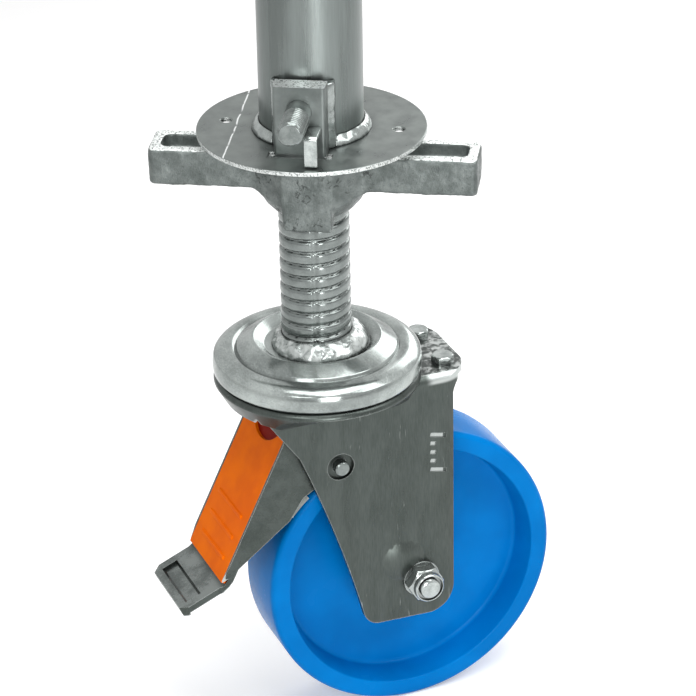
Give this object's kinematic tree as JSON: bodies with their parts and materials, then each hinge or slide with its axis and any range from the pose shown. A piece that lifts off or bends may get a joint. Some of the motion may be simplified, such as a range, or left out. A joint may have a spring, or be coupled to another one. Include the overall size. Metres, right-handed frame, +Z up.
{
  "type": "scaffold castor",
  "caption": "Levelling scaffold castor: tube and collar, winged nut on a threaded spindle, ball swivel head, pressed fork, blue wheel and treadle brake.",
  "frame": {"origin": "on the spindle axis, at the upper face of the collar", "axes": "+Z up along the tube and spindle axis; the wheel trails on the +X side with its axle along Y; the brake lever is on the -X side"},
  "size_m": [0.2642, 0.1465, 0.5685],
  "materials": {
    "tube_steel": "satin",
    "zinc_steel": "satin",
    "cast_zinc": "matte",
    "bright_zinc": "satin",
    "ball_steel": "gloss",
    "spring_steel": "satin",
    "cap_plastic": "matte",
    "wheel_blue": "satin",
    "pad_orange": "satin",
    "shoe_steel": "matte"
  },
  "bodies": {
    "upright": {"upright_tube": "tube_steel", "collar_disc": "zinc_steel", "foot_weld": "bright_zinc", "lock_bracket": "zinc_steel", "lug_welds": "bright_zinc", "lock_keeper": "zinc_steel"},
    "pin": {"lock_pin": "bright_zinc"},
    "nut": {"wing_nut": "cast_zinc", "retaining_ring": "bright_zinc"},
    "stem": {"spindle": "bright_zinc", "spindle_weld": "bright_zinc", "swivel_head": "zinc_steel", "kingpin": "bright_zinc", "kingpin_nut": "bright_zinc", "lower_cup": "zinc_steel"},
    "fork_body": {"fork": "zinc_steel", "upper_balls": "ball_steel", "lower_balls": "ball_steel", "shelf_bolts": "bright_zinc", "shelf_nuts": "bright_zinc", "leaf_spring": "spring_steel", "axle_bolt": "bright_zinc", "axle_nut": "bright_zinc", "axle_washers": "bright_zinc", "dust_caps": "cap_plastic", "axle_sleeve": "bright_zinc", "lever_pin": "bright_zinc"},
    "wheel_body": {"wheel": "wheel_blue", "roller_cage": "cap_plastic", "rollers": "ball_steel"},
    "lever": {"brake_lever": "zinc_steel", "pivot_tube": "zinc_steel", "pedal_pad": "pad_orange", "brake_shoe": "shoe_steel"}
  },
  "joints": [
    {"name": "lock_pin_slide", "type": "slide", "parent": "upright", "child": "pin", "axis": [-0.5075, -0.8616, 0], "range_m": [0, 0.012]},
    {"name": "nut_turn", "type": "hinge", "parent": "upright", "child": "nut", "pos_m": [0, 0, -0.025], "axis": [0, 0, 1], "range_deg": [-2880, 1800]},
    {"name": "spindle_lift", "type": "slide", "parent": "upright", "child": "stem", "axis": [0, 0, 1], "range_m": [-0.0426, 0.0681]},
    {"name": "swivel", "type": "hinge", "parent": "stem", "child": "fork_body", "pos_m": [0, 0, -0.165], "axis": [0, 0, 1], "continuous": true},
    {"name": "wheel_spin", "type": "hinge", "parent": "fork_body", "child": "wheel_body", "pos_m": [0.055, 0, -0.3185], "axis": [0, 1, 0], "continuous": true},
    {"name": "brake_press", "type": "hinge", "parent": "fork_body", "child": "lever", "pos_m": [0, 0, -0.223], "axis": [0, -1, 0], "range_deg": [0, 5]}
  ],
  "couplings": [
    {"joint": "spindle_lift", "follows": "nut_turn", "m_per_rad": -0.0013528}
  ]
}
